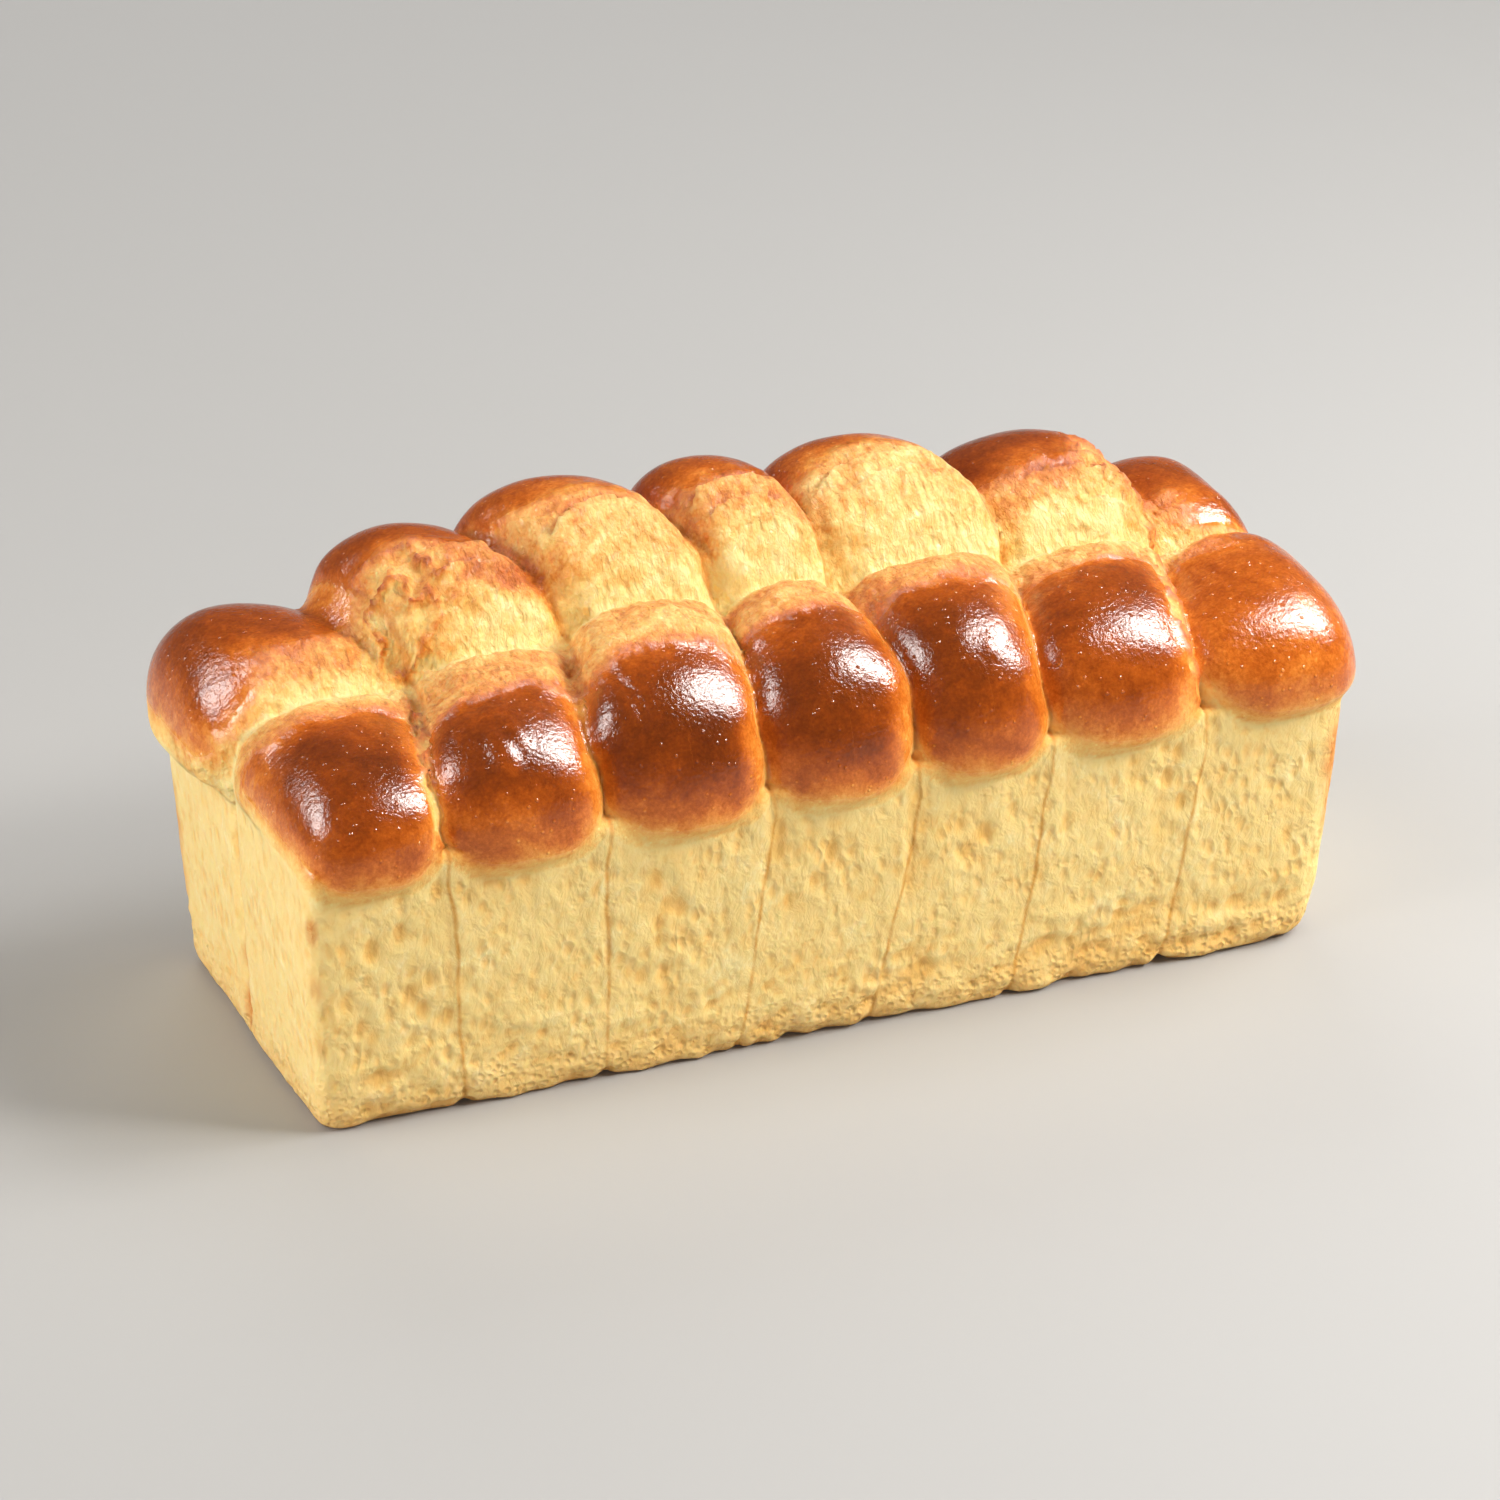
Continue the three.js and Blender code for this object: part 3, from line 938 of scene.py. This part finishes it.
    # fine relief: pits and wrinkles where the crust is dry, a pebbled skin where it shines
    wrinkles = n.noise(4.4, 4, 0.55, 0.5, scale=(1.1, 1.1, 0.7))
    grain = n.noise(0.8, 2, 0.5)
    wall_relief = n.plus(n.times(wrinkles, 0.6), n.times(grain, 0.05))
    wall_relief = n.minus(wall_relief, n.times(foam_pits, 0.28))
    wall_relief = n.minus(wall_relief, n.times(pore_pits, 0.42))
    flakes = n.between(n.cells(3.6, (1.2, 0.7, 0.7), 2.2), 0.05, 0.70)
    crown_relief = n.plus(n.times(fibre, 1.1), n.times(flakes, 0.6))
    crown_relief = n.times(crown_relief, n.between(strands, 0.0, 0.7, 0.2, 1.0))
    crown_relief = n.plus(crown_relief, n.times(grain, 0.12))
    dry_relief = n.mix(wall, crown_relief, wall_relief)
    pebble = n.noise(1.5, 3, 0.6)
    pinholes = n.between(n.cells(3.4), 0.04, 0.20, 1.0, 0.0)
    shiny_relief = n.plus(n.times(pebble, 0.17), n.times(pinholes, 0.16))
    height = n.mix(gloss, dry_relief, shiny_relief)
    normal = n.bump(height, strength=1.0, depth_mm=1.7)
    n.join(normal, shader.inputs["Normal"])
    return material


# ---- studio ------------------------------------------------------------------------------------

CAMERA_AZIMUTH = -22.8
CAMERA_ELEVATION = 26.3
CAMERA_DISTANCE = 1.6838
CAMERA_TARGET = Vector((-0.0007 + SHIFT_X * MM, 0.0, 0.0604))
CAMERA_LENS = 144.0
CAMERA_SENSOR = 36.0

FLOOR_HALF = 4.0
FLOOR_GREY = 0.40
WORLD_COLOUR = (0.94, 0.90, 0.84, 1)
WORLD_STRENGTH = 0.13
WARM = (1.0, 0.96, 0.90)
WHITE = (1.0, 0.98, 0.95)

# Soft lamps: name, azimuth and elevation in degrees, distance, width and height in metres, watts,
# colour, and whether the lamp lights the loaf or only makes highlights on it.
LAMP_TARGET = Vector((0, 0, 0.06))
LAMPS = [
    ("key", 54, 38, 1.8, 0.40, 0.40, 23, WARM, "light"),
    ("right", 76, 48, 1.4, 0.46, 0.70, 15, WHITE, "light"),
    ("shine", 98, 48, 1.4, 0.40, 0.95, 44, WHITE, "highlight"),
    ("left", -82, 50, 1.8, 1.2, 1.2, 9, WARM, "light"),
    ("gleam", -114, 38, 1.8, 0.8, 0.8, 34, WHITE, "highlight"),
    ("side", -88, 16, 1.8, 0.9, 0.9, 17, WARM, "light"),
    ("front", -20, 4, 1.8, 1.4, 1.4, 9, WARM, "light"),
    ("back", 170, 35, 1.8, 0.9, 0.9, 10, WHITE, "light"),
]


def direction(azimuth, elevation):
    """A unit vector from the loaf; azimuth 0 is straight in front and grows to the right."""
    a, e = math.radians(azimuth), math.radians(elevation)
    return Vector((math.sin(a) * math.cos(e), -math.cos(a) * math.cos(e), math.sin(e)))


def aim(item, target):
    item.rotation_euler = (target - item.location).to_track_quat("-Z", "Y").to_euler()


def add_camera():
    data = bpy.data.cameras.new("camera")
    data.lens = CAMERA_LENS
    data.sensor_width = CAMERA_SENSOR
    data.clip_end = 20
    camera = bpy.data.objects.new("camera", data)
    camera.location = CAMERA_TARGET + direction(CAMERA_AZIMUTH, CAMERA_ELEVATION) * CAMERA_DISTANCE
    aim(camera, CAMERA_TARGET)
    bpy.context.scene.collection.objects.link(camera)
    bpy.context.scene.camera = camera


def add_softbox(name, azimuth, elevation, distance, width, height, power, colour, role):
    """A soft lamp aimed at the loaf, either to light it or for its highlights."""
    data = bpy.data.lights.new(name, "AREA")
    data.shape = "RECTANGLE"
    data.size = width
    data.size_y = height
    data.energy = power
    data.color = colour
    light = bpy.data.objects.new(name, data)
    light.visible_glossy = role == "highlight"
    light.visible_diffuse = role == "light"
    light.location = direction(azimuth, elevation) * distance
    aim(light, LAMP_TARGET)
    bpy.context.scene.collection.objects.link(light)


def add_floor():
    mesh = bpy.data.meshes.new("floor")
    corners = [(FLOOR_HALF * x, FLOOR_HALF * y, 0) for x, y in ((-1, -1), (1, -1), (1, 1), (-1, 1))]
    mesh.from_pydata(corners, [], [(0, 1, 2, 3)])
    floor = bpy.data.objects.new("floor", mesh)
    bpy.context.scene.collection.objects.link(floor)
    material = bpy.data.materials.new("floor")
    material.use_nodes = True
    shader = material.node_tree.nodes["Principled BSDF"]
    shader.inputs["Base Color"].default_value = (FLOOR_GREY, FLOOR_GREY, FLOOR_GREY, 1)
    shader.inputs["Roughness"].default_value = 0.7
    mesh.materials.append(material)


def add_studio():
    add_floor()
    world = bpy.data.worlds.new("studio")
    bpy.context.scene.world = world
    world.use_nodes = True
    background = world.node_tree.nodes["Background"]
    background.inputs["Color"].default_value = WORLD_COLOUR
    background.inputs["Strength"].default_value = WORLD_STRENGTH
    for lamp in LAMPS:
        add_softbox(*lamp)
    bpy.context.scene.view_settings.view_transform = "Standard"


# ---- assemble ----------------------------------------------------------------------------------

add_camera()
loaf = build_loaf()
loaf.data.materials.append(crust_material())
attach(loaf, "root")
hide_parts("loaf")
add_studio()
